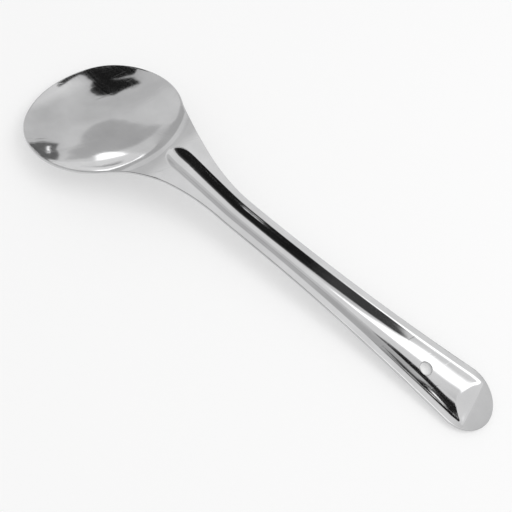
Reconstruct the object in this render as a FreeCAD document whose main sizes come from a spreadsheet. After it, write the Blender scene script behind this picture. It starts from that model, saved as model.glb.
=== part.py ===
import FreeCAD, Part
import math
import os

import Sketcher

# A cooking ladle, pressed from one sheet of stainless steel and trimmed to its outline.
#
# Lengths are millimetres and angles are degrees. While it is modelled, X runs from the tip of the bowl
# to the end of the handle, Y runs across, Z is up and the tip of the head lies near the origin.
# At the end the ladle is set down as on a table, on its bowl and on the end of its handle.

V = FreeCAD.Vector

SIZES = [
    # outline, seen from above
    ("ladle_length", 259.0),
    ("head_width", 78.7),
    ("tip_radius", 49.6),
    ("cheek_radius", 31.3),
    ("shoulder_radius", 81.0),
    ("waist_width", 18.3),
    ("waist_place", 121.0),
    ("grip_radius", 16.0),
    # side view: the head rises to the neck, and the handle falls away behind it
    ("sheet_thickness", 1.2),
    ("head_tilt", 14.4),
    ("neck_place", 56.8),
    ("neck_radius", 60.0),
    ("neck_fall", 9.8),
    ("bend_place", 103.2),
    ("bend_radius", 100.0),
    ("handle_fall", 2.8),
    # the bowl, a dish whose edge would stand a little outside the rim
    ("dish_depth", 9.2),
    ("dish_fullness", 2.2),
    ("dish_margin", 0.8),
    ("lip_softness", 2.4),
    # the trough that stiffens the handle, between two flanges
    ("trough_depth", 1.9),
    ("trough_start", 69.5),
    ("trough_nose", 8.0),
    ("end_land", 11.0),
    ("trough_ramp", 19.0),
    ("flange_width", 3.8),
    ("trough_softness", 0.55),
    ("crease_softness", 0.25),
    # hanging hole, placed from the end of the handle, and the break of the cut edges
    ("hole_width", 6.0),
    ("hole_inset", 36.0),
    ("hole_edge_break", 0.15),
    ("rim_edge_break", 0.3),
    # dies that the sheet is pressed between, and how closely their faces are set out
    ("die_height", 120.0),
    ("die_margin", 5.0),
    ("bowl_pitch", 2.4),
    ("handle_pitch", 4.0),
    ("trough_pitch", 0.8),
    ("slope_step", 0.01),
    ("punch_length", 12.0),
    ("rest_accuracy", 0.005),
]

doc = FreeCAD.newDocument("CookingLadle")
sheet = doc.addObject("Spreadsheet::Sheet", "Sizes")
for row, (alias, value) in enumerate(SIZES, start=1):
    sheet.set(f"A{row}", alias)
    sheet.set(f"B{row}", str(value))
    sheet.setAlias(f"B{row}", alias)
doc.recompute()


def size(alias):
    return float(sheet.get(alias))


def slope(alias):
    return math.tan(math.radians(size(alias)))


# Outline


def outline_arcs():
    """Centre, radius, start and end of each arc of the half outline, from the tip to the end."""
    tip_radius, cheek_radius = size("tip_radius"), size("cheek_radius")
    shoulder_radius, grip_radius = size("shoulder_radius"), size("grip_radius")
    tip = V(tip_radius, 0)
    lift = size("head_width") / 2 - cheek_radius
    cheek = V(tip.x - math.sqrt((tip_radius - cheek_radius) ** 2 - lift**2), lift)
    grip = V(size("ladle_length") - grip_radius, 0)
    waist = V(size("waist_place"), size("waist_width") / 2)
    # the side arc is lowest at the waist and touches the grip arc
    run = grip.x - waist.x
    side_radius = (run**2 + waist.y**2 - grip_radius**2) / (2 * (grip_radius - waist.y))
    side = V(waist.x, waist.y + side_radius)
    # the shoulder arc touches the cheek from outside and the side from inside
    from_cheek = shoulder_radius + cheek_radius
    from_side = side_radius - shoulder_radius
    gap = (side - cheek).Length
    direction = (side - cheek) / gap
    along = (from_cheek**2 - from_side**2 + gap**2) / (2 * gap)
    across = math.sqrt(from_cheek**2 - along**2)
    shoulder = cheek + direction * along + V(direction.y, -direction.x) * across
    tip_to_cheek = tip + (cheek - tip).normalize() * tip_radius
    cheek_to_shoulder = cheek + (shoulder - cheek).normalize() * cheek_radius
    shoulder_to_side = side + (shoulder - side).normalize() * side_radius
    side_to_grip = side + (grip - side).normalize() * side_radius
    return {
        "tip": (tip, tip_radius, V(0, 0), tip_to_cheek),
        "cheek": (cheek, cheek_radius, tip_to_cheek, cheek_to_shoulder),
        "shoulder": (shoulder, shoulder_radius, cheek_to_shoulder, shoulder_to_side),
        "side": (side, side_radius, shoulder_to_side, side_to_grip),
        "grip": (grip, grip_radius, side_to_grip, V(size("ladle_length"), 0)),
    }


ARCS = outline_arcs()


def trough_half_width(x):
    """Half the width of the trough, which leaves a flange on each side of the handle."""
    nose_middle = size("trough_start") + size("trough_nose")
    centre, radius = ARCS["side"][:2]
    place = min(max(x, nose_middle), ARCS["grip"][0].x)
    return centre.y - math.sqrt(radius**2 - (place - centre.x) ** 2) - size("flange_width")


# Pressed face: the bent sheet, less the dish of the bowl, less the trough


def spine(x):
    """Height of the bent sheet before the bowl and the trough are pressed into it."""
    head, fall, grip = slope("head_tilt"), slope("neck_fall"), slope("handle_fall")
    height = head * x
    for place, radius, turn in (
        (size("neck_place"), size("neck_radius"), -head - fall),
        (size("bend_place"), size("bend_radius"), fall - grip),
    ):
        length = radius * abs(turn)
        inside = min(max(x - place, 0), length)
        beyond = max(x - place - length, 0)
        height += turn * (inside**2 / (2 * length) + beyond)
    return height


def rounded(depth, softness):
    """The depth where it is positive and nothing elsewhere, with the corner between the two rounded."""
    if depth >= softness:
        return depth
    if depth <= -softness:
        return 0.0
    return (depth + softness) ** 2 / (4 * softness)


def dish(x, y):
    """Depth of the bowl. It has a soft lip at the neck, and elsewhere its wall runs on past the rim."""
    middle = ARCS["cheek"][0].x
    half_length = middle + size("dish_margin")
    half_width = size("head_width") / 2 + size("dish_margin")
    outward = math.hypot((x - middle) / half_length, y / half_width)
    depth = size("dish_depth") * (1 - outward ** size("dish_fullness"))
    towards_neck = min(max((x - middle) / (size("neck_place") - middle), 0), 1)
    share = towards_neck**2 * (3 - 2 * towards_neck)
    return depth + share * (rounded(depth, size("lip_softness")) - depth)


def trough(x, y):
    """Depth of the trough: a round nose, a rounded section between the flanges and a sloping end."""
    nose_middle = size("trough_start") + size("trough_nose")
    forward = max(nose_middle - x, 0) / size("trough_nose")
    section = size("trough_depth") * (1 - (y / trough_half_width(x)) ** 2 - forward**2)
    ramp = (size("ladle_length") - size("end_land") - x) * slope("trough_ramp")
    floor = section - rounded(section - ramp, size("crease_softness"))
    return rounded(floor, size("trough_softness"))


def pressed_height(x, y):
    return spine(x) - dish(x, y) - trough(x, y)


def outward_normal(x, y):
    """The direction straight out of the upper side of the sheet."""
    step = size("slope_step")
    along = (pressed_height(x + step, y) - pressed_height(x - step, y)) / (2 * step)
    across = (pressed_height(x, y + step) - pressed_height(x, y - step)) / (2 * step)
    return V(-along, -across, 1).normalize()


def set_out(start, *stretches):
    """Places from the start on, evenly spaced up to each stretch's end at no more than its pitch."""
    places = [start]
    for end, pitch in stretches:
        begin = places[-1]
        count = math.ceil((end - begin) / pitch)
        places += [begin + (end - begin) * index / count for index in range(1, count + 1)]
    return places


def die(name, below):
    """A block whose upper face follows the sheet's upper side, at the given distance below it."""
    margin = size("die_margin")
    half_width = size("head_width") / 2 + margin
    trough_reach = size("grip_radius")
    nose = size("trough_start"), size("trough_start") + 2 * size("trough_nose")
    land = size("ladle_length") - size("end_land")
    ramp = land - size("grip_radius")
    stations = set_out(
        -margin,
        (nose[0], size("bowl_pitch")),
        (nose[1], size("trough_pitch")),
        (ramp, size("handle_pitch")),
        (land, size("trough_pitch")),
        (size("ladle_length") + margin, size("bowl_pitch")),
    )
    rows = set_out(
        -half_width,
        (-trough_reach, size("bowl_pitch")),
        (trough_reach, size("trough_pitch")),
        (half_width, size("bowl_pitch")),
    )
    surface = Part.BSplineSurface()
    surface.interpolate(
        [[V(x, y, pressed_height(x, y)) - outward_normal(x, y) * below for y in rows] for x in stations]
    )
    face = doc.addObject("Part::Feature", f"{name}Face")
    face.Shape = surface.toShape()
    block = doc.addObject("Part::Extrusion", name)
    block.Base = face
    block.DirMode = "Custom"
    block.Dir = V(0, 0, -1)
    block.Solid = True
    block.setExpression("LengthFwd", "Sizes.die_height")
    return block


upper_die = die("UpperDie", 0)
lower_die = die("LowerDie", size("sheet_thickness"))

# Trimming outline: a sketch of the half, extruded, mirrored and joined

outline = doc.addObject("Sketcher::SketchObject", "HalfOutline")
edge = {}
for name, (centre, radius, start, end) in ARCS.items():
    hollow = name in ("shoulder", "side")
    first, last = (start, end) if hollow else (end, start)
    begin, finish = (math.atan2(point.y - centre.y, point.x - centre.x) for point in (first, last))
    circle = Part.Circle(V(centre.x, centre.y, 0), V(0, 0, 1), radius)
    edge[name] = outline.addGeometry(Part.ArcOfCircle(circle, begin, finish))
edge["axis"] = outline.addGeometry(Part.LineSegment(V(0, 0, 0), V(size("ladle_length"), 0, 0)))
edge["waist"] = outline.addGeometry(Part.Point(V(size("waist_place"), size("waist_width") / 2, 0)))

# numbers of the origin among the sketch's lines, and of the points of a line or an arc
ORIGIN, START, END, CENTRE = -1, *range(1, 4)
for first, first_end, second, second_end in (
    ("tip", START, "cheek", END),
    ("cheek", START, "shoulder", START),
    ("shoulder", END, "side", START),
    ("side", END, "grip", END),
):
    outline.addConstraint(Sketcher.Constraint("Tangent", edge[first], first_end, edge[second], second_end))
for constraint in (
    ("Coincident", edge["axis"], START, ORIGIN, START),
    ("Horizontal", edge["axis"]),
    ("Coincident", edge["tip"], END, edge["axis"], START),
    ("Coincident", edge["grip"], START, edge["axis"], END),
    ("PointOnObject", edge["tip"], CENTRE, ORIGIN),
    ("PointOnObject", edge["grip"], CENTRE, ORIGIN),
    ("PointOnObject", edge["waist"], START, edge["side"]),
    ("Vertical", edge["waist"], START, edge["side"], CENTRE),
):
    outline.addConstraint(Sketcher.Constraint(*constraint))
for name, constraint, expression in (
    ("tip_radius", ("Radius", edge["tip"]), "Sizes.tip_radius"),
    ("cheek_radius", ("Radius", edge["cheek"]), "Sizes.cheek_radius"),
    ("shoulder_radius", ("Radius", edge["shoulder"]), "Sizes.shoulder_radius"),
    ("grip_radius", ("Radius", edge["grip"]), "Sizes.grip_radius"),
    ("ladle_length", ("DistanceX", edge["axis"], START, edge["axis"], END), "Sizes.ladle_length"),
    (
        "cheek_lift",
        ("DistanceY", ORIGIN, START, edge["cheek"], CENTRE),
        "Sizes.head_width / 2 - Sizes.cheek_radius",
    ),
    ("waist_place", ("DistanceX", ORIGIN, START, edge["waist"], START), "Sizes.waist_place"),
    ("half_waist", ("DistanceY", ORIGIN, START, edge["waist"], START), "Sizes.waist_width / 2"),
):
    value = outline.evalExpression(expression)
    number = outline.addConstraint(Sketcher.Constraint(*constraint, value))
    outline.renameConstraint(number, name)
    outline.setExpression(f"Constraints.{name}", expression)

half_trim = doc.addObject("Part::Extrusion", "HalfTrim")
half_trim.Base = outline
half_trim.DirMode = "Custom"
half_trim.Dir = V(0, 0, 1)
half_trim.Solid = True
half_trim.Symmetric = True
half_trim.setExpression("LengthFwd", "Sizes.die_height")

other_half_trim = doc.addObject("Part::Mirroring", "OtherHalfTrim")
other_half_trim.Source = half_trim
other_half_trim.Normal = V(0, 1, 0)

trim = doc.addObject("Part::Fuse", "Trim")
trim.Base = half_trim
trim.Tool = other_half_trim
trim.Refine = True

# The sheet is what the two dies leave between them

below_upper_die = doc.addObject("Part::Common", "BelowUpperSide")
below_upper_die.Base = trim
below_upper_die.Tool = upper_die

pressed_sheet = doc.addObject("Part::Cut", "PressedSheet")
pressed_sheet.Base = below_upper_die
pressed_sheet.Tool = lower_die

# The hanging hole is punched square to the floor of the trough

hole_place = size("ladle_length") - size("hole_inset")
hole_middle = V(hole_place, 0, pressed_height(hole_place, 0))
hole_direction = outward_normal(hole_place, 0)
punch = doc.addObject("Part::Cylinder", "HolePunch")
punch.setExpression("Radius", "Sizes.hole_width / 2")
punch.setExpression("Height", "Sizes.punch_length")
punch.Placement = FreeCAD.Placement(
    hole_middle - hole_direction * size("punch_length") / 2,
    FreeCAD.Rotation(V(0, 0, 1), hole_direction),
)

pierced_sheet = doc.addObject("Part::Cut", "PiercedSheet")
pierced_sheet.Base = pressed_sheet
pierced_sheet.Tool = punch
doc.recompute()

# The edges that border the two broad sides are broken: well at the rim, lightly at the hole

broad_sides = sorted(pierced_sheet.Shape.Faces, key=lambda face: face.Area)[-2:]


def edge_break(candidate):
    """How far an edge of the pierced sheet is broken on each side of it, or nothing."""
    for side in broad_sides:
        if any(candidate.isSame(border) for border in side.OuterWire.Edges):
            return size("rim_edge_break")
        if any(candidate.isSame(border) for border in side.Edges):
            return size("hole_edge_break")
    return 0.0


ladle = doc.addObject("Part::Chamfer", "Ladle")
ladle.Label = "ladle"
ladle.Base = pierced_sheet
breaks = [edge_break(candidate) for candidate in pierced_sheet.Shape.Edges]
ladle.Edges = [(number, width, width) for number, width in enumerate(breaks, start=1) if width]
doc.recompute()


def resting_placement(shape):
    """Turn about Y until the bowl and the handle both touch the table, then centre the ladle on it."""
    points = shape.tessellate(size("rim_edge_break"))[0]
    turn = 0.0
    while True:
        rotation = FreeCAD.Rotation(V(0, 1, 0), turn)
        turned = [rotation.multVec(point) for point in points]
        bowl = min((p for p in turned if p.x < size("waist_place")), key=lambda p: p.z)
        handle = min((p for p in turned if p.x >= size("waist_place")), key=lambda p: p.z)
        lean = math.degrees(math.atan2(handle.z - bowl.z, handle.x - bowl.x))
        if abs(lean) < size("rest_accuracy"):
            break
        turn += lean
    low_end = min(p.x for p in turned)
    high_end = max(p.x for p in turned)
    return FreeCAD.Placement(V(-(low_end + high_end) / 2, 0, -min(bowl.z, handle.z)), rotation)


ladle.Placement = resting_placement(ladle.Shape)
doc.recompute()

for item in doc.Objects:
    if {"Invalid", "Error"} & set(item.State):
        raise SystemExit(f"{item.Name} did not build: {item.State}")
if ladle.Shape.isNull() or not ladle.Shape.isValid() or len(ladle.Shape.Solids) != 1:
    raise SystemExit("the ladle is not one valid solid")

os.makedirs("parts", exist_ok=True)
ladle.Shape.exportStep(f"parts/{ladle.Label}.step")
print("ladle", round(ladle.Shape.Volume), "mm3", ladle.Placement)
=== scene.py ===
import math

import bpy
import numpy as np
from mathutils import Matrix, Vector


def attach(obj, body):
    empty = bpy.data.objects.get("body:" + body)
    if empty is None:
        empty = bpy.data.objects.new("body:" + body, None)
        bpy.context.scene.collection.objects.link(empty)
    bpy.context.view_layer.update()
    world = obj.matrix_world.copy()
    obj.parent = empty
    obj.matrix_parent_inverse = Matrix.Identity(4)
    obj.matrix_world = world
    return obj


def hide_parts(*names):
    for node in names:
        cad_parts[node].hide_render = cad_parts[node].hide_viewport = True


# A cooking ladle of polished stainless steel, pressed from one sheet, on a pale floor.
#
# Lengths are metres and angles are radians. The ladle's mesh is worked out as it is pressed: X runs from the
# tip of the bowl to the end of the handle, Y runs across and Z is up. It is then set down as on a table.

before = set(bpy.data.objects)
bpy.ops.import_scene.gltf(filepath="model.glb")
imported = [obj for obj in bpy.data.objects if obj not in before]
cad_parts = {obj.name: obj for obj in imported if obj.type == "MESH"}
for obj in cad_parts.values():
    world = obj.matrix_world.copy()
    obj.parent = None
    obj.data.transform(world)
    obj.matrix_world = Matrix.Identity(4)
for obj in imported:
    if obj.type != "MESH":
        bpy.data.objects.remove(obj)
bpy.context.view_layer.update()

# Outline, seen from above
LADLE_LENGTH = 0.2590
HEAD_WIDTH = 0.0787
TIP_RADIUS = 0.0496
CHEEK_RADIUS = 0.0313
SHOULDER_RADIUS = 0.0810
WAIST_WIDTH = 0.0183
WAIST_PLACE = 0.1210
GRIP_RADIUS = 0.0160

# Side view
SHEET_THICKNESS = 0.0012
HEAD_SLOPE = math.tan(math.radians(14.4))
NECK_PLACE = 0.0568
NECK_RADIUS = 0.0600
NECK_FALL = math.tan(math.radians(9.8))
BEND_PLACE = 0.1032
BEND_RADIUS = 0.1000
HANDLE_FALL = math.tan(math.radians(2.8))

# Bowl
DISH_DEPTH = 0.0092
DISH_FULLNESS = 2.2
DISH_MARGIN = 0.0008
LIP_SOFTNESS = 0.0024

# Trough of the handle
TROUGH_DEPTH = 0.0019
TROUGH_START = 0.0695
TROUGH_NOSE = 0.0080
TROUGH_RAMP = math.tan(math.radians(19.0))
END_LAND = 0.0110
FLANGE_WIDTH = 0.0038
TROUGH_SOFTNESS = 0.00038
CREASE_SOFTNESS = 0.00025

# Hanging hole and rounded edges
HOLE_RADIUS = 0.0030
HOLE_PLACE = LADLE_LENGTH - 0.0360
HOLE_EDGE_ROUND = 0.00015
RIM_EDGE_ROUND = 0.0004

# How finely the mesh is laid out
RIM_PITCH = 0.00072
COLUMNS_EACH_SIDE = 46
EDGE_STEPS = 5
HOLE_PATCH_REACH = 0.0052
HOLE_PATCH_RINGS = 9
SLOPE_STEP = 0.00001
UNDERSIDE_PASSES = 12
SETTLING_PASSES = 20

# Polished steel. Each range is the stretch of a noise over which its effect comes in.
STEEL_DARKEST = (0.585, 0.585, 0.59, 1)
STEEL_LIGHTEST = (0.675, 0.675, 0.68, 1)
CLOUD_SCALE = 60.0
CLOUD_DETAIL = 5.0
CLOUD_RANGE = (0.3, 0.7)
GLOSSIEST = 0.05
DULLEST = 0.11
LINE_SCALE = (40.0, 1500.0, 400.0)
LINE_DETAIL = 4.0
LINE_RANGE = (0.3, 0.7)
LINE_HEIGHT = 0.0000015
WAVE_SCALE = 45.0
WAVE_DETAIL = 1.0
WAVE_HEIGHT = 0.00025
SCRATCH_SIZE = (1 / 18, 1 / 800, 1 / 100)
SCRATCH_DETAIL = 2.0
SCRATCH_RANGE = (0.64, 0.72)
SCRATCH_TURN = math.radians(66)
SCRATCH_HEIGHT = 0.00001


def unit(vectors):
    return vectors / np.linalg.norm(vectors, axis=-1, keepdims=True)


def make_outline():
    """Arcs of the half outline from the tip to the end: centre, radius, first angle, last angle, hollow."""
    tip = np.array([TIP_RADIUS, 0.0])
    lift = HEAD_WIDTH / 2 - CHEEK_RADIUS
    cheek = np.array([TIP_RADIUS - math.sqrt((TIP_RADIUS - CHEEK_RADIUS) ** 2 - lift**2), lift])
    grip = np.array([LADLE_LENGTH - GRIP_RADIUS, 0.0])
    half_waist = WAIST_WIDTH / 2
    run = grip[0] - WAIST_PLACE
    side_radius = (run**2 + half_waist**2 - GRIP_RADIUS**2) / (2 * (GRIP_RADIUS - half_waist))
    side = np.array([WAIST_PLACE, half_waist + side_radius])
    from_cheek = SHOULDER_RADIUS + CHEEK_RADIUS
    from_side = side_radius - SHOULDER_RADIUS
    gap = np.linalg.norm(side - cheek)
    direction = (side - cheek) / gap
    along = (from_cheek**2 - from_side**2 + gap**2) / (2 * gap)
    across = math.sqrt(from_cheek**2 - along**2)
    shoulder = cheek + direction * along + np.array([direction[1], -direction[0]]) * across
    joints = [
        np.array([0.0, 0.0]),
        tip + unit(cheek - tip) * TIP_RADIUS,
        cheek + unit(shoulder - cheek) * CHEEK_RADIUS,
        side + unit(shoulder - side) * side_radius,
        side + unit(grip - side) * side_radius,
        np.array([LADLE_LENGTH, 0.0]),
    ]
    arcs = {}
    for number, (name, centre, radius, hollow) in enumerate((
        ("tip", tip, TIP_RADIUS, False),
        ("cheek", cheek, CHEEK_RADIUS, False),
        ("shoulder", shoulder, SHOULDER_RADIUS, True),
        ("side", side, side_radius, True),
        ("grip", grip, GRIP_RADIUS, False),
    )):
        first, last = (joints[number + end] - centre for end in (0, 1))
        arcs[name] = (centre, radius, math.atan2(first[1], first[0]), math.atan2(last[1], last[0]), hollow)
    return arcs


ARCS = make_outline()


def outline_points():
    """Points of the half outline from the tip to the end of the handle, and their outward directions."""
    points, outward = [], []
    for centre, radius, first, last, hollow in ARCS.values():
        steps = math.ceil(abs(last - first) * radius / RIM_PITCH)
        for step in range(steps):
            angle = first + (last - first) * step / steps
            ray = np.array([math.cos(angle), math.sin(angle)])
            points.append(centre + ray * radius)
            outward.append(-ray if hollow else ray)
    points.append(np.array([LADLE_LENGTH, 0.0]))
    outward.append(np.array([1.0, 0.0]))
    return np.array(points), np.array(outward)


def rounded(depth, softness):
    """The depth where it is positive and nothing elsewhere, with the corner between the two rounded."""
    corner = (depth + softness) ** 2 / (4 * softness)
    return np.where(depth >= softness, depth, np.where(depth <= -softness, 0.0, corner))


def spine(x):
    """Height of the bent sheet before the bowl and the trough are pressed into it."""
    height = HEAD_SLOPE * x
    for place, radius, turn in (
        (NECK_PLACE, NECK_RADIUS, -HEAD_SLOPE - NECK_FALL),
        (BEND_PLACE, BEND_RADIUS, NECK_FALL - HANDLE_FALL),
    ):
        length = radius * abs(turn)
        inside = np.clip(x - place, 0, length)
        beyond = np.maximum(x - place - length, 0)
        height = height + turn * (inside**2 / (2 * length) + beyond)
    return height


def dish(x, y):
    """Depth of the bowl. It has a soft lip at the neck, and elsewhere its wall runs on past the rim."""
    middle = ARCS["cheek"][0][0]
    outward = np.hypot((x - middle) / (middle + DISH_MARGIN), y / (HEAD_WIDTH / 2 + DISH_MARGIN))
    depth = DISH_DEPTH * (1 - outward**DISH_FULLNESS)
    towards_neck = np.clip((x - middle) / (NECK_PLACE - middle), 0, 1)
    share = towards_neck**2 * (3 - 2 * towards_neck)
    return depth + share * (rounded(depth, LIP_SOFTNESS) - depth)


def trough(x, y):
    """Depth of the trough: a round nose, a rounded section between the flanges and a sloping end."""
    nose_middle = TROUGH_START + TROUGH_NOSE
    centre, radius = ARCS["side"][:2]
    place = np.clip(x, nose_middle, ARCS["grip"][0][0])
    half_width = centre[1] - np.sqrt(radius**2 - (place - centre[0]) ** 2) - FLANGE_WIDTH
    forward = np.maximum(nose_middle - x, 0) / TROUGH_NOSE
    section = TROUGH_DEPTH * (1 - (y / half_width) ** 2 - forward**2)
    ramp = (LADLE_LENGTH - END_LAND - x) * TROUGH_RAMP
    return rounded(section - rounded(section - ramp, CREASE_SOFTNESS), TROUGH_SOFTNESS)


def upper_height(plan):
    x, y = plan[..., 0], plan[..., 1]
    return spine(x) - dish(x, y) - trough(x, y)


def upper_normal(plan):
    slopes = []
    for axis in np.eye(2) * SLOPE_STEP:
        slopes.append((upper_height(plan + axis) - upper_height(plan - axis)) / (2 * SLOPE_STEP))
    return unit(np.stack([-slopes[0], -slopes[1], np.ones_like(slopes[0])], axis=-1))


def under_height(plan):
    """Height of the underside, which lies one sheet thickness away, square to the upper side."""
    above = plan
    for _ in range(UNDERSIDE_PASSES):
        above = plan + upper_normal(above)[..., :2] * SHEET_THICKNESS
    return upper_height(above) - upper_normal(above)[..., 2] * SHEET_THICKNESS


def on_side(height, plan):
    return np.concatenate([plan, height(plan)[..., None]], axis=-1)


def cut_edge(plan, outward, radius):
    """Rings of points over a cut edge with both corners rounded, from the upper side to the underside."""
    rings = []
    for height, down in ((upper_height, -1.0), (under_height, 1.0)):
        step = outward * SLOPE_STEP
        slope = (height(plan + step) - height(plan - step)) / (2 * SLOPE_STEP)
        inward = unit(np.concatenate([-outward, -slope[:, None]], axis=-1))
        wall = np.zeros_like(inward)
        wall[:, 2] = down
        half_angle = np.arccos((inward * wall).sum(axis=-1)) / 2
        middle = on_side(height, plan) + unit(inward + wall) * (radius / np.sin(half_angle))[:, None]
        reach = (radius / np.tan(half_angle))[:, None]
        first = on_side(height, plan) + inward * reach - middle
        last = on_side(height, plan) + wall * reach - middle
        turn = (math.pi - 2 * half_angle)[:, None]
        arc = []
        for share in np.linspace(0, 1, EDGE_STEPS + 1):
            ray = (first * np.sin((1 - share) * turn) + last * np.sin(share * turn)) / np.sin(turn)
            arc.append(middle + ray)
        rings += arc if down < 0 else arc[::-1]
    return rings


class MeshParts:
    """Vertices and faces that are gathered piece by piece."""

    def __init__(self):
        self.points = []
        self.faces = []

    def add(self, points):
        """Adds points of any array shape and gives their numbers in that shape."""
        start = len(self.points)
        flat = points.reshape(-1, 3)
        self.points.extend(flat)
        return np.arange(start, start + len(flat)).reshape(points.shape[:-1])

    def band(self, first, second, closed=False, flip=False):
        """Faces between two rows of as many points."""
        count = len(first)
        for here in range(count if closed else count - 1):
            there = (here + 1) % count
            face = [first[here], first[there], second[there], second[here]]
            self.faces.append(face[::-1] if flip else face)

    def fan(self, tip, row, flip=False):
        """Faces between one point and a row."""
        for here in range(len(row) - 1):
            face = [tip, row[here], row[here + 1]]
            self.faces.append(face[::-1] if flip else face)


def broad_side(mesh, height, edge_ring, hole_ring, flip):
    """One broad side of the sheet, from its rim, whose points are in the mesh already, in to the hole."""
    half = len(edge_ring) // 2
    points = np.array(mesh.points)
    shares = np.linspace(-1, 1, 2 * COLUMNS_EACH_SIDE + 1)
    rows = []
    plans = []
    for number in range(1, half):
        left, right = edge_ring[number], edge_ring[-number]
        x, y = points[left][:2]
        plan = np.stack([np.full_like(shares, x), shares * y], axis=-1)
        inner = mesh.add(on_side(height, plan[1:-1]))
        rows.append(np.concatenate([[right], inner, [left]]))
        plans.append(plan)
    mesh.fan(edge_ring[0], rows[0], flip)
    mesh.fan(edge_ring[half], rows[-1], not flip)

    plans = np.array(plans)
    near = np.flatnonzero(abs(plans[:, 0, 0] - HOLE_PLACE) < HOLE_PATCH_REACH)
    first_row, last_row = near[0], near[-1]
    columns = np.flatnonzero(abs(plans[first_row, :, 1]) < HOLE_PATCH_REACH)
    first_column, last_column = columns[0], columns[-1]
    for number in range(len(rows) - 1):
        upper, lower = rows[number], rows[number + 1]
        if first_row <= number < last_row:
            mesh.band(upper[: first_column + 1], lower[: first_column + 1], flip=not flip)
            mesh.band(upper[last_column:], lower[last_column:], flip=not flip)
        else:
            mesh.band(upper, lower, flip=not flip)

    border = [(first_row, column) for column in range(first_column, last_column)]
    border += [(row, last_column) for row in range(first_row, last_row)]
    border += [(last_row, column) for column in range(last_column, first_column, -1)]
    border += [(row, first_column) for row in range(last_row, first_row, -1)]
    outer = np.array([rows[row][column] for row, column in border])
    outer_plan = np.array([plans[row, column] for row, column in border])
    inner = hole_ring(outer_plan)
    inner_plan = np.array(mesh.points)[inner][:, :2]
    ring = outer
    for share in np.linspace(0, 1, HOLE_PATCH_RINGS + 1)[1:]:
        plan = outer_plan + (inner_plan - outer_plan) * share
        following = inner if share == 1 else mesh.add(on_side(height, plan))
        mesh.band(ring, following, closed=True, flip=not flip)
        ring = following


def ladle_mesh():
    """Points and faces of the whole ladle, as it is pressed."""
    mesh = MeshParts()
    half_plan, half_outward = outline_points()
    mirror = np.array([1.0, -1.0])
    plan = np.concatenate([half_plan, half_plan[-2:0:-1] * mirror])
    outward = np.concatenate([half_outward, half_outward[-2:0:-1] * mirror])
    rim = [mesh.add(ring) for ring in cut_edge(plan, outward, RIM_EDGE_ROUND)]
    for first, second in zip(rim, rim[1:]):
        mesh.band(first, second, closed=True)

    hole_rings = []

    def hole_border(side):
        def ring(around):
            if not hole_rings:
                rays = unit(around - np.array([HOLE_PLACE, 0.0]))
                corners = rays * HOLE_RADIUS + np.array([HOLE_PLACE, 0.0])
                hole_rings.extend(mesh.add(points) for points in cut_edge(corners, -rays, HOLE_EDGE_ROUND))
                for first, second in zip(hole_rings, hole_rings[1:]):
                    mesh.band(first, second, closed=True)
            return hole_rings[side]

        return ring

    broad_side(mesh, upper_height, rim[0], hole_border(0), False)
    broad_side(mesh, under_height, rim[-1], hole_border(-1), True)
    return np.array(mesh.points), mesh.faces


def setting_down(points):
    """The turn about Y that lets bowl and handle both touch the floor, and the move over the origin."""
    turn = 0.0
    bowl_side = points[:, 0] < WAIST_PLACE
    for _ in range(SETTLING_PASSES):
        spin = Matrix.Rotation(turn, 4, "Y")
        turned = points @ np.array(spin.to_3x3()).T
        bowl = min(turned[bowl_side], key=lambda point: point[2])
        handle = min(turned[~bowl_side], key=lambda point: point[2])
        turn += math.atan2(handle[2] - bowl[2], handle[0] - bowl[0])
    low, high = turned.min(axis=0), turned.max(axis=0)
    return Matrix.Translation((-(low[0] + high[0]) / 2, 0.0, -low[2])) @ spin


def new_material(name):
    material = bpy.data.materials.new(name)
    material.use_nodes = True
    tree = material.node_tree
    tree.nodes.clear()
    return material, tree


def noise(tree, place, detail, scale=1.0):
    texture = tree.nodes.new("ShaderNodeTexNoise")
    texture.inputs["Scale"].default_value = scale
    texture.inputs["Detail"].default_value = detail
    tree.links.new(place, texture.inputs["Vector"])
    return texture.outputs["Fac"]


def mapped(tree, place, kind, scale, turn=0.0):
    """Coordinates times the scale for POINT. For TEXTURE they are turned back about Z and divided by it."""
    mapping = tree.nodes.new("ShaderNodeMapping")
    mapping.vector_type = kind
    mapping.inputs["Rotation"].default_value = (0.0, 0.0, turn)
    mapping.inputs["Scale"].default_value = scale
    tree.links.new(place, mapping.inputs["Vector"])
    return mapping.outputs["Vector"]


def ranged(tree, value, span, low=0.0, high=1.0):
    """A number that goes from low to high while the value goes over the span."""
    spread = tree.nodes.new("ShaderNodeMapRange")
    for socket, number in zip(("From Min", "From Max", "To Min", "To Max"), (*span, low, high)):
        spread.inputs[socket].default_value = number
    tree.links.new(value, spread.inputs["Value"])
    return spread.outputs["Result"]


def colour_ramp(tree, value, span, *colours):
    """A colour that goes from the first to the second while the value goes over the span."""
    ramp = tree.nodes.new("ShaderNodeValToRGB")
    for element, position, colour in zip(ramp.color_ramp.elements, span, colours):
        element.position = position
        element.color = colour
    tree.links.new(value, ramp.inputs["Fac"])
    return ramp.outputs["Color"]


def relief(tree, height, metres, normal=None):
    """A bump that stands out by the height times so many metres, over another normal if one is given."""
    bump = tree.nodes.new("ShaderNodeBump")
    bump.inputs["Strength"].default_value = 1.0
    bump.inputs["Distance"].default_value = metres
    tree.links.new(height, bump.inputs["Height"])
    if normal:
        tree.links.new(normal, bump.inputs["Normal"])
    return bump.outputs["Normal"]


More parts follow.
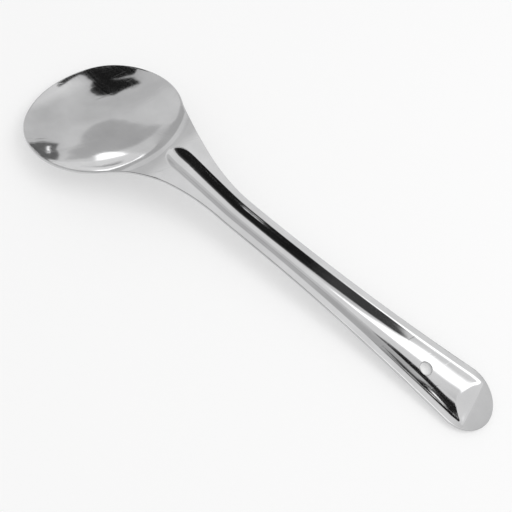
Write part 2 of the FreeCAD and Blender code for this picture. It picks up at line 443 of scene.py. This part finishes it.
def polished_steel():
    """Mirror-polished sheet: faint clouds, fine polishing lines, a few light scratches and slight waves."""
    material, tree = new_material("polished_steel")
    nodes, links = tree.nodes, tree.links
    output = nodes.new("ShaderNodeOutputMaterial")
    shader = nodes.new("ShaderNodeBsdfPrincipled")
    shader.inputs["Metallic"].default_value = 1.0
    links.new(shader.outputs["BSDF"], output.inputs["Surface"])
    place = nodes.new("ShaderNodeTexCoord").outputs["Object"]

    clouds = noise(tree, place, CLOUD_DETAIL, CLOUD_SCALE)
    tint = colour_ramp(tree, clouds, CLOUD_RANGE, STEEL_DARKEST, STEEL_LIGHTEST)
    links.new(tint, shader.inputs["Base Color"])

    lines = noise(tree, mapped(tree, place, "POINT", LINE_SCALE), LINE_DETAIL)
    links.new(ranged(tree, lines, LINE_RANGE, GLOSSIEST, DULLEST), shader.inputs["Roughness"])

    streaks = noise(tree, mapped(tree, place, "TEXTURE", SCRATCH_SIZE, SCRATCH_TURN), SCRATCH_DETAIL)
    scratches = ranged(tree, streaks, SCRATCH_RANGE)
    wavy = relief(tree, noise(tree, place, WAVE_DETAIL, WAVE_SCALE), WAVE_HEIGHT)
    lined = relief(tree, lines, LINE_HEIGHT, wavy)
    links.new(relief(tree, scratches, SCRATCH_HEIGHT, lined), shader.inputs["Normal"])
    return material


def make_ladle():
    """The ladle at rest, and the move that set it down."""
    points, faces = ladle_mesh()
    rest = setting_down(points)
    data = bpy.data.meshes.new("ladle_sheet")
    data.from_pydata(points.tolist(), [], [list(map(int, face)) for face in faces])
    data.transform(rest)
    data.polygons.foreach_set("use_smooth", [True] * len(data.polygons))
    data.materials.append(polished_steel())
    data.update()
    ladle = bpy.data.objects.new("ladle_sheet", data)
    bpy.context.scene.collection.objects.link(ladle)
    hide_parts("ladle")
    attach(ladle, "root")
    return rest


rest = make_ladle()

# Floor and room
FLOOR_HALF_WIDTH = 3.0
FLOOR_COLOUR = (0.62, 0.62, 0.62, 1)
FLOOR_GLOW = 0.37
BACKDROP_GLOW = 0.15
DAYLIGHT = 0.80
ROOM_DARKEST = (0.64, 0.64, 0.64, 1)
ROOM_LIGHTEST = (0.76, 0.76, 0.76, 1)
ROOM_CLOUD_SCALE = 2.5
ROOM_CLOUD_DETAIL = 2.0
ROOM_CLOUD_RANGE = (0.35, 0.65)
DAYLIGHT_COLOUR = (1, 1, 1, 1)

LAMP_POSITION = Vector((0.45, 0.30, 0.80))
LAMP_SIZE = 0.6
LAMP_POWER = 1.7

# The photograph's viewpoint, solved from the ladle's symmetry in the frame it is pressed in
CAMERA_PLACE = Vector((0.156695, -0.186193, 0.270153))
CAMERA_RIGHT = Vector((0.788239, 0.544714, 0.286296)).normalized()
CAMERA_BACK = Vector((0.081362, -0.553411, 0.828925)).normalized()
SENSOR_WIDTH = 36.0
PHOTO_WIDTH_PIXELS = 512
LENS_PIXELS = 700
NEAREST_SEEN = 0.01

# Cards lie flat over the ladle or stand round it, and only the steel's reflections show them. Each has its
# brightness, the width of its soft edge and its corners, which are places over the ladle. A standing card
# also has its distance, and its corners are bearings in degrees and heights. Of the cards over the ladle,
# each lies a little lower than the one before it, so it covers that one in the reflections.
BLACK, DARK, DIM, MIDDLE, GREY, LIGHT, WHITE = 0.012, 0.06, 0.16, 0.54, 0.80, 0.95, 1.9
OVERHEAD = 0.350
OVERHEAD_STEP = 0.001
RAGGEDNESS = 0.025
BLUNTEST_MITRE = 0.5
OVERHEAD_CARDS = {
    "light_ceiling": (LIGHT, 0.060, (
        (-0.13, 0.14), (0.18, 0.14), (0.18, 0.02), (0.33, 0.02), (0.33, 0.42), (-0.13, 0.42),
    )),
    "window": (WHITE, 0.022, (
        (0.105, 0.190), (0.150, 0.115), (0.190, 0.050), (0.265, 0.105), (0.262, 0.175), (0.190, 0.190),
    )),
    "grey_end": (GREY, 0.030, ((0.290, 0.215), (0.360, 0.215), (0.360, 0.330), (0.290, 0.330))),
    "dark_middle": (DARK, 0.014, (
        (-0.090, 0.085), (0.040, 0.080), (0.100, 0.050), (0.160, 0.045),
        (0.180, 0.036), (0.170, -0.090), (0.110, -0.160), (-0.090, -0.160),
    )),
    "black_middle": (BLACK, 0.030, ((-0.090, 0.030), (0.060, 0.020), (0.060, -0.170), (-0.090, -0.170))),
    "gleam_middle": (WHITE, 0.004, ((-0.021, -0.148), (-0.012, -0.146), (-0.012, -0.128), (-0.021, -0.132))),
    "black_left": (BLACK, 0.005, (
        (-0.362, 0.042), (-0.330, 0.080), (-0.312, 0.118), (-0.262, 0.133), (-0.219, 0.123),
        (-0.184, 0.087), (-0.142, 0.083), (-0.108, 0.092), (-0.117, 0.057), (-0.146, 0.024),
        (-0.203, -0.008), (-0.281, -0.011), (-0.288, 0.012), (-0.222, 0.051), (-0.300, 0.026),
    )),
    "black_strip": (BLACK, 0.004, ((-0.116, 0.085), (-0.092, 0.085), (-0.090, 0.178), (-0.104, 0.178))),
    "black_far": (BLACK, 0.015, (
        (0.205, 0.390), (0.240, 0.370), (0.265, 0.400), (0.290, 0.412), (0.345, 0.392),
        (0.345, 0.540), (0.205, 0.540),
    )),
}
STANDING_CARDS = {
    "low_wall": (GREY, 0.150, 0.950, ((134, 0.0), (175, 0.0), (175, 0.55), (134, 0.60))),
    "far_wall": (MIDDLE, 0.160, 0.920, ((70, 0.0), (90, 0.0), (90, 0.20), (82, 0.24), (72, 0.40))),
    "panel": (MIDDLE, 0.003, 0.250, (
        (150.9, 0.016), (151.4, 0.058), (153.2, 0.099), (154.7, 0.116), (156.2, 0.118), (157.7, 0.101),
        (158.3, 0.074), (158.0, 0.050), (156.2, 0.038), (154.6, 0.030), (153.3, 0.034),
    )),
    "table_gleam": (WHITE, 0.012, 0.890, (
        (140.4, 0.0), (141.0, 0.12), (142.2, 0.18), (143.3, 0.12), (144.4, 0.05), (144.4, 0.0),
    )),
    "dim_low": (DIM, 0.008, 0.880, (
        (123.3, 0.196), (126.3, 0.273), (131.0, 0.287), (133.1, 0.020), (130.1, 0.0), (125.0, 0.0),
        (123.0, 0.1),
    )),
    "gleam_low": (WHITE, 0.004, 0.870, ((128.6, 0.215), (129.0, 0.220), (130.5, 0.105), (130.2, 0.100))),
    "dark_far": (BLACK, 0.020, 0.900, (
        (66.5, 0.80), (53.0, 0.80), (53.0, 0.24), (60.0, 0.20), (71.0, 0.24), (71.0, 0.27),
        (66.0, 0.31), (61.5, 0.47), (64.5, 0.60),
    )),
    "gleam_far": (WHITE, 0.006, 0.890, ((61.9, 0.37), (63.0, 0.36), (63.2, 0.32), (62.1, 0.33))),
}


def stage_mesh(name, points, faces):
    data = bpy.data.meshes.new(name)
    data.from_pydata(points, [], faces)
    data.update()
    stage = bpy.data.objects.new(name, data)
    bpy.context.scene.collection.objects.link(stage)
    return stage


def seen_by(tree, *kinds):
    """1 for the named kinds of ray in Light Path, and 0 for the others."""
    path = tree.nodes.new("ShaderNodeLightPath")
    seen = path.outputs[kinds[0]]
    for kind in kinds[1:]:
        either = tree.nodes.new("ShaderNodeMath")
        either.operation = "MAXIMUM"
        tree.links.new(seen, either.inputs[0])
        tree.links.new(path.outputs[kind], either.inputs[1])
        seen = either.outputs["Value"]
    return seen


def make_floor():
    """A pale floor. It also glows, but only as camera, reflections and glass see it, to show white there."""
    half = FLOOR_HALF_WIDTH
    floor = stage_mesh("floor", ((-half, -half, 0), (half, -half, 0), (half, half, 0), (-half, half, 0)),
                       [(0, 1, 2, 3)])
    material, tree = new_material("pale_floor")
    nodes, links = tree.nodes, tree.links
    output = nodes.new("ShaderNodeOutputMaterial")
    both = nodes.new("ShaderNodeAddShader")
    shader = nodes.new("ShaderNodeBsdfDiffuse")
    shader.inputs["Color"].default_value = FLOOR_COLOUR
    glow = nodes.new("ShaderNodeEmission")
    strength = nodes.new("ShaderNodeMath")
    strength.operation = "MULTIPLY"
    strength.inputs[1].default_value = FLOOR_GLOW
    links.new(seen_by(tree, "Is Camera Ray", "Is Glossy Ray", "Is Transmission Ray"), strength.inputs[0])
    links.new(strength.outputs["Value"], glow.inputs["Strength"])
    links.new(shader.outputs["BSDF"], both.inputs[0])
    links.new(glow.outputs["Emission"], both.inputs[1])
    links.new(both.outputs["Shader"], output.inputs["Surface"])
    floor.data.materials.append(material)


def card_material(name, brightness):
    """A glowing card that fades out over its soft edge."""
    material, tree = new_material(name)
    nodes, links = tree.nodes, tree.links
    output = nodes.new("ShaderNodeOutputMaterial")
    mix = nodes.new("ShaderNodeMixShader")
    clear = nodes.new("ShaderNodeBsdfTransparent")
    glow = nodes.new("ShaderNodeEmission")
    glow.inputs["Strength"].default_value = brightness
    cover = nodes.new("ShaderNodeAttribute")
    cover.attribute_name = "cover"
    links.new(cover.outputs["Fac"], mix.inputs["Fac"])
    links.new(clear.outputs["BSDF"], mix.inputs[1])
    links.new(glow.outputs["Emission"], mix.inputs[2])
    links.new(mix.outputs["Shader"], output.inputs["Surface"])
    return material


def ragged(corners):
    """The corners with two more on each side, so that the outline wanders a little."""
    after = np.roll(corners, -1, axis=0)
    sway = RAGGEDNESS * np.stack([after[:, 1] - corners[:, 1], corners[:, 0] - after[:, 0]], axis=-1)
    third = corners + (after - corners) / 3 + sway
    two_thirds = corners + (after - corners) * 2 / 3 - sway
    return np.stack([corners, third, two_thirds], axis=1).reshape(-1, 2)


def soft_card(name, brightness, softness, corners, place):
    """A card whose inner corners are solid and whose outer ones, a soft edge further out, are clear."""
    inner = ragged(np.array(corners))
    following = np.roll(inner, -1, axis=0)
    before = unit(inner - np.roll(inner, 1, axis=0))
    after = unit(following - inner)
    turning = np.sign(np.sum(inner[:, 0] * following[:, 1] - inner[:, 1] * following[:, 0]))
    normals = [np.stack([side[:, 1], -side[:, 0]], axis=-1) * turning for side in (before, after)]
    middle = unit(normals[0] + normals[1])
    mitre = np.maximum((middle * normals[0]).sum(axis=-1, keepdims=True), BLUNTEST_MITRE)
    outer = inner + middle * softness / mitre
    count = len(inner)
    points = [place(*corner) for corner in np.concatenate([inner, outer])]
    faces = [list(range(count))]
    for here in range(count):
        there = (here + 1) % count
        faces.append([here, there, count + there, count + here])
    card = stage_mesh(name, points, faces)
    cover = card.data.attributes.new("cover", "FLOAT", "POINT")
    cover.data.foreach_set("value", [1.0] * count + [0.0] * count)
    card.data.materials.append(card_material(name, brightness))
    card.visible_camera = False
    card.visible_diffuse = False
    card.visible_shadow = False
    card.visible_transmission = False


def make_cards():
    for number, (name, (brightness, softness, corners)) in enumerate(OVERHEAD_CARDS.items()):
        height = OVERHEAD - OVERHEAD_STEP * number
        soft_card(name, brightness, softness, corners, lambda x, y: (x, y, height))
    for name, (brightness, softness, distance, corners) in STANDING_CARDS.items():
        flat = [(math.radians(bearing) * distance, height) for bearing, height in corners]
        soft_card(name, brightness, softness, flat, lambda along, height: (
            distance * math.cos(along / distance), distance * math.sin(along / distance), height))


def make_world():
    """Plain daylight, a pale backdrop, and a faintly clouded grey room in the reflections."""
    world = bpy.data.worlds.new("room")
    bpy.context.scene.world = world
    world.use_nodes = True
    tree = world.node_tree
    nodes, links = tree.nodes, tree.links
    nodes.clear()
    output = nodes.new("ShaderNodeOutputWorld")
    mix = nodes.new("ShaderNodeMixShader")
    daylight = nodes.new("ShaderNodeBackground")
    daylight.inputs["Color"].default_value = DAYLIGHT_COLOUR
    strength = nodes.new("ShaderNodeMath")
    strength.operation = "MULTIPLY_ADD"
    strength.inputs[1].default_value = BACKDROP_GLOW
    strength.inputs[2].default_value = DAYLIGHT
    links.new(seen_by(tree, "Is Camera Ray"), strength.inputs[0])
    links.new(strength.outputs["Value"], daylight.inputs["Strength"])
    room = nodes.new("ShaderNodeBackground")
    place = nodes.new("ShaderNodeTexCoord").outputs["Generated"]
    clouds = noise(tree, place, ROOM_CLOUD_DETAIL, ROOM_CLOUD_SCALE)
    shade = colour_ramp(tree, clouds, ROOM_CLOUD_RANGE, ROOM_DARKEST, ROOM_LIGHTEST)
    links.new(shade, room.inputs["Color"])
    links.new(seen_by(tree, "Is Glossy Ray"), mix.inputs["Fac"])
    links.new(daylight.outputs["Background"], mix.inputs[1])
    links.new(room.outputs["Background"], mix.inputs[2])
    links.new(mix.outputs["Shader"], output.inputs["Surface"])


def make_lamp():
    data = bpy.data.lights.new("soft_lamp", "AREA")
    data.shape = "SQUARE"
    data.size = LAMP_SIZE
    data.energy = LAMP_POWER
    lamp = bpy.data.objects.new("soft_lamp", data)
    bpy.context.scene.collection.objects.link(lamp)
    lamp.location = LAMP_POSITION
    lamp.rotation_euler = (-LAMP_POSITION).to_track_quat("-Z", "Y").to_euler()
    lamp.visible_glossy = False


def make_camera(rest):
    """The photograph's viewpoint, moved as the ladle was when it was set down."""
    data = bpy.data.cameras.new("camera")
    data.sensor_width = SENSOR_WIDTH
    data.lens = SENSOR_WIDTH * LENS_PIXELS / PHOTO_WIDTH_PIXELS
    data.clip_start = NEAREST_SEEN
    camera = bpy.data.objects.new("camera", data)
    bpy.context.scene.collection.objects.link(camera)
    turn = Matrix((CAMERA_RIGHT, CAMERA_BACK.cross(CAMERA_RIGHT), CAMERA_BACK)).transposed()
    camera.matrix_world = rest @ Matrix.Translation(CAMERA_PLACE) @ turn.to_4x4()
    bpy.context.scene.camera = camera


make_floor()
make_cards()
make_world()
make_lamp()
make_camera(rest)
bpy.context.scene.view_settings.view_transform = "Standard"
